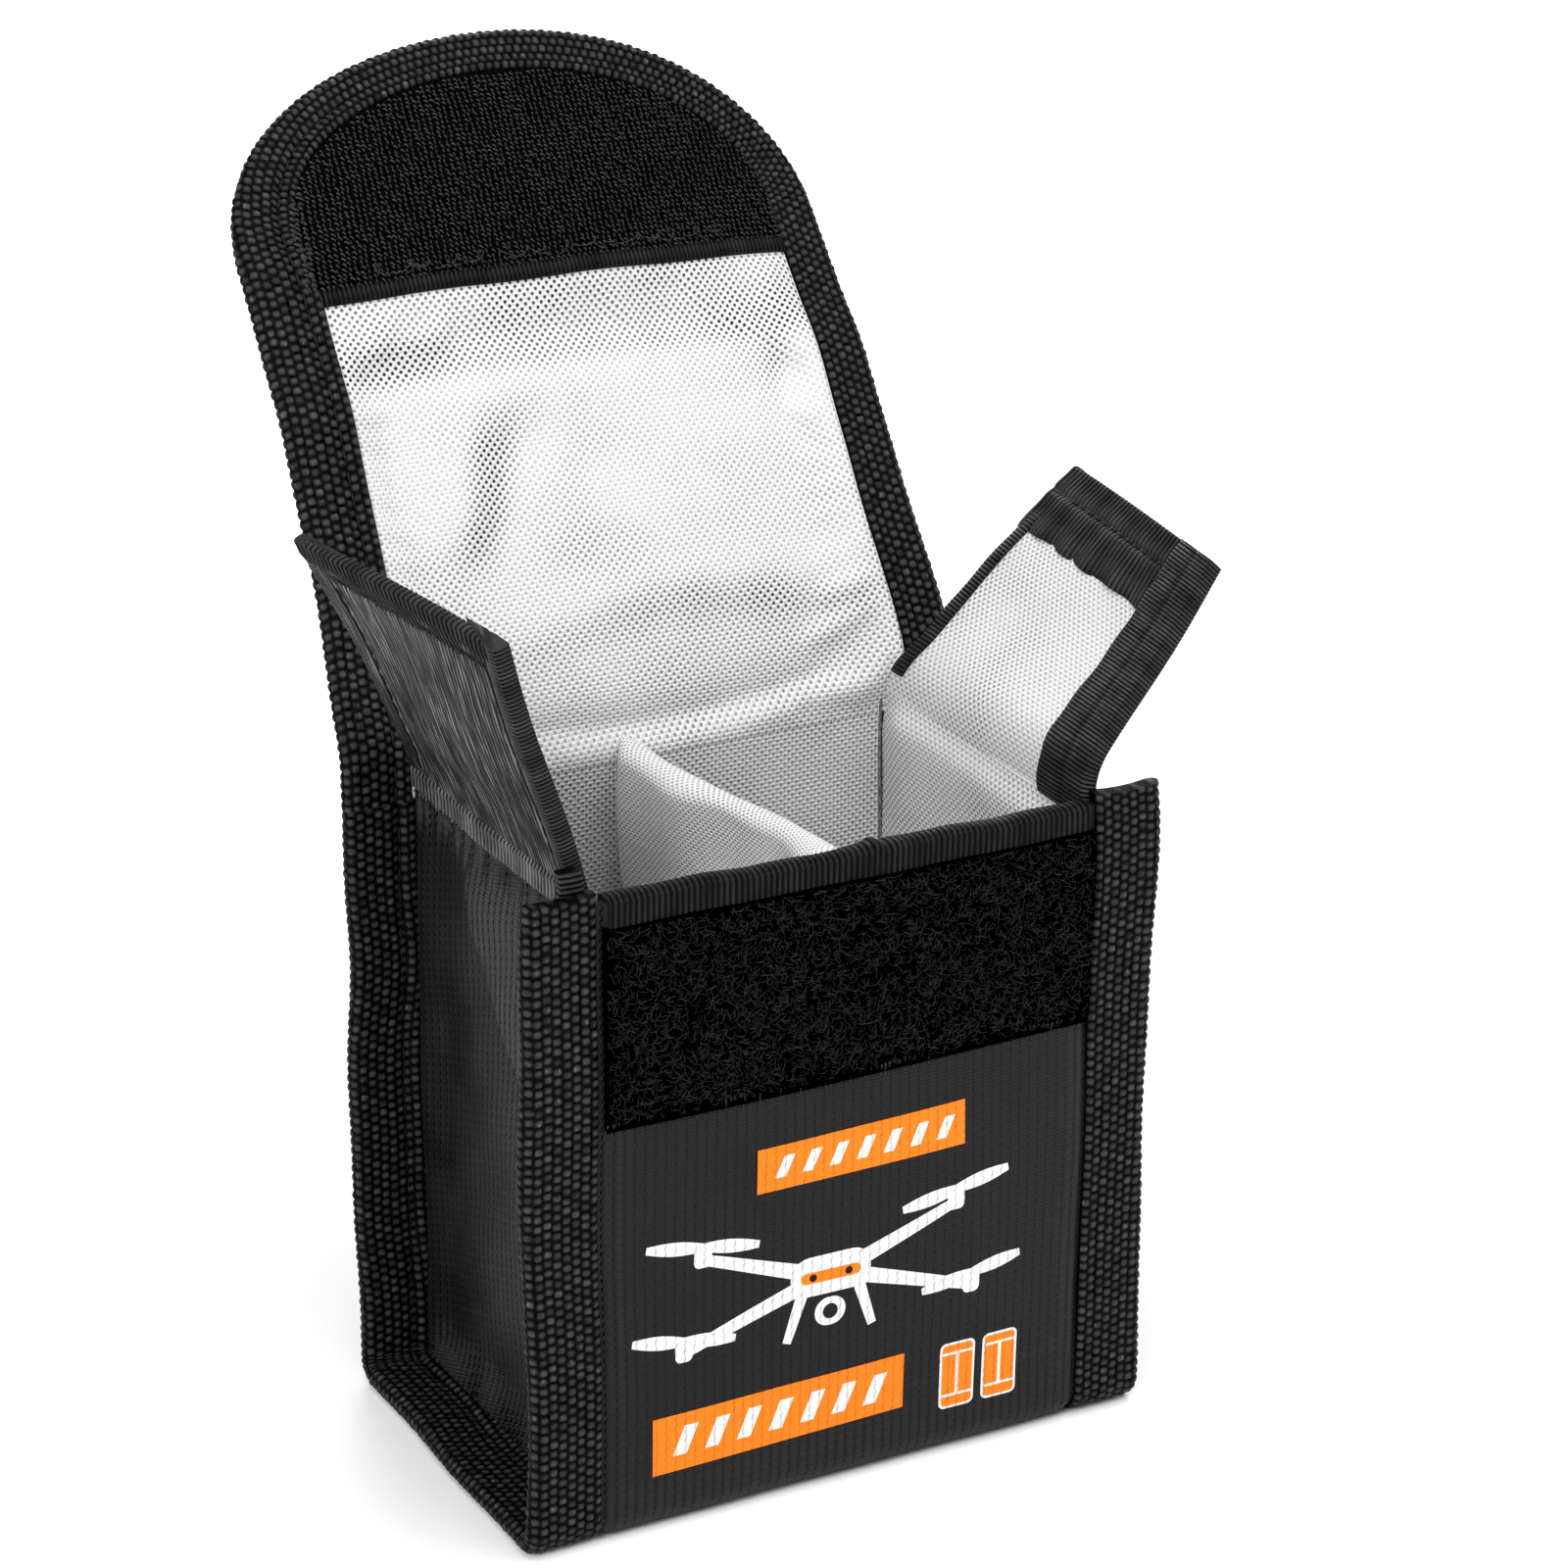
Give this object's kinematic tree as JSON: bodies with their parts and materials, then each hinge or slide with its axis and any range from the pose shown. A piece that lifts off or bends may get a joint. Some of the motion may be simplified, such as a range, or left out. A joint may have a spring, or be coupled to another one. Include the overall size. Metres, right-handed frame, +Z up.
{
  "type": "lipo safe bag",
  "caption": "Small fire-resistant fabric bag for drone battery packs, standing open, with a hook-and-loop lid, fold-in side flaps and a padded divider.",
  "frame": {"origin": "centre of the base, on the surface the bag stands on", "axes": "+X to the right of the front panel, front panel faces -Y, +Z up"},
  "size_m": [0.1236, 0.1134, 0.1897],
  "materials": {
    "outer_cloth": "coated ripstop cloth, satin",
    "lining_cloth": "woven glass cloth with a silver-white sheen",
    "padding": "soft felt pad",
    "binding_tape": "coarse woven polypropylene tape",
    "ribbed_tape": "fine ribbed tape, slight sheen",
    "loop_pile": "fuzzy loop pile, matt",
    "hook_knit": "low knitted hook patch, matt"
  },
  "bodies": {
    "bag": {"front_panel": "outer_cloth", "base_panel": "outer_cloth", "back_panel": "outer_cloth", "left_gusset": "outer_cloth", "right_gusset": "outer_cloth", "front_lining": "lining_cloth", "base_lining": "lining_cloth", "back_lining": "lining_cloth", "left_gusset_lining": "lining_cloth", "right_gusset_lining": "lining_cloth", "divider_cover": "lining_cloth", "divider_padding": "padding", "loop_tape": "loop_pile", "front_rim_hem": "ribbed_tape", "left_front_binding": "binding_tape", "left_base_binding": "binding_tape", "left_back_binding": "binding_tape", "right_front_binding": "binding_tape", "right_base_binding": "binding_tape", "right_back_binding": "binding_tape"},
    "lid_neck": {"neck_panel": "outer_cloth", "neck_lining": "lining_cloth", "neck_left_binding": "binding_tape", "neck_right_binding": "binding_tape"},
    "lid": {"lid_panel": "outer_cloth", "lid_lining": "lining_cloth", "lid_left_binding": "binding_tape", "lid_right_binding": "binding_tape"},
    "lid_tip": {"tip_panel": "outer_cloth", "tip_lining": "lining_cloth", "tip_binding": "binding_tape", "hook_patch": "hook_knit", "hook_patch_hem": "ribbed_tape"},
    "left_side_flap": {"left_flap_panel": "outer_cloth", "left_flap_lining": "lining_cloth", "left_flap_hem": "ribbed_tape"},
    "right_side_flap": {"right_flap_panel": "outer_cloth", "right_flap_lining": "lining_cloth", "right_flap_hem": "ribbed_tape"}
  },
  "joints": [
    {"name": "lid_open", "type": "hinge", "parent": "bag", "child": "lid_neck", "pos_m": [0, 0.031, 0.1], "axis": [1, 0, 0], "range_deg": [-130, 0]},
    {"name": "lid_close", "type": "hinge", "parent": "lid_neck", "child": "lid", "pos_m": [0, 0.0284, 0.1041], "axis": [1, 0, 0], "range_deg": [0, 120], "deforming": ["lid_left_binding", "lid_right_binding", "tip_binding"]},
    {"name": "tip_fold", "type": "hinge", "parent": "lid", "child": "lid_tip", "pos_m": [0, 0.0596, 0.15814], "axis": [1, 0, 0], "range_deg": [-40, 92]},
    {"name": "left_flap_fold", "type": "hinge", "parent": "bag", "child": "left_side_flap", "pos_m": [-0.0403, 0, 0.1019], "axis": [0, 1, 0], "range_deg": [-150, 110]},
    {"name": "right_flap_fold", "type": "hinge", "parent": "bag", "child": "right_side_flap", "pos_m": [0.0403, 0, 0.1038], "axis": [0, -1, 0], "range_deg": [-127, 133]}
  ]
}
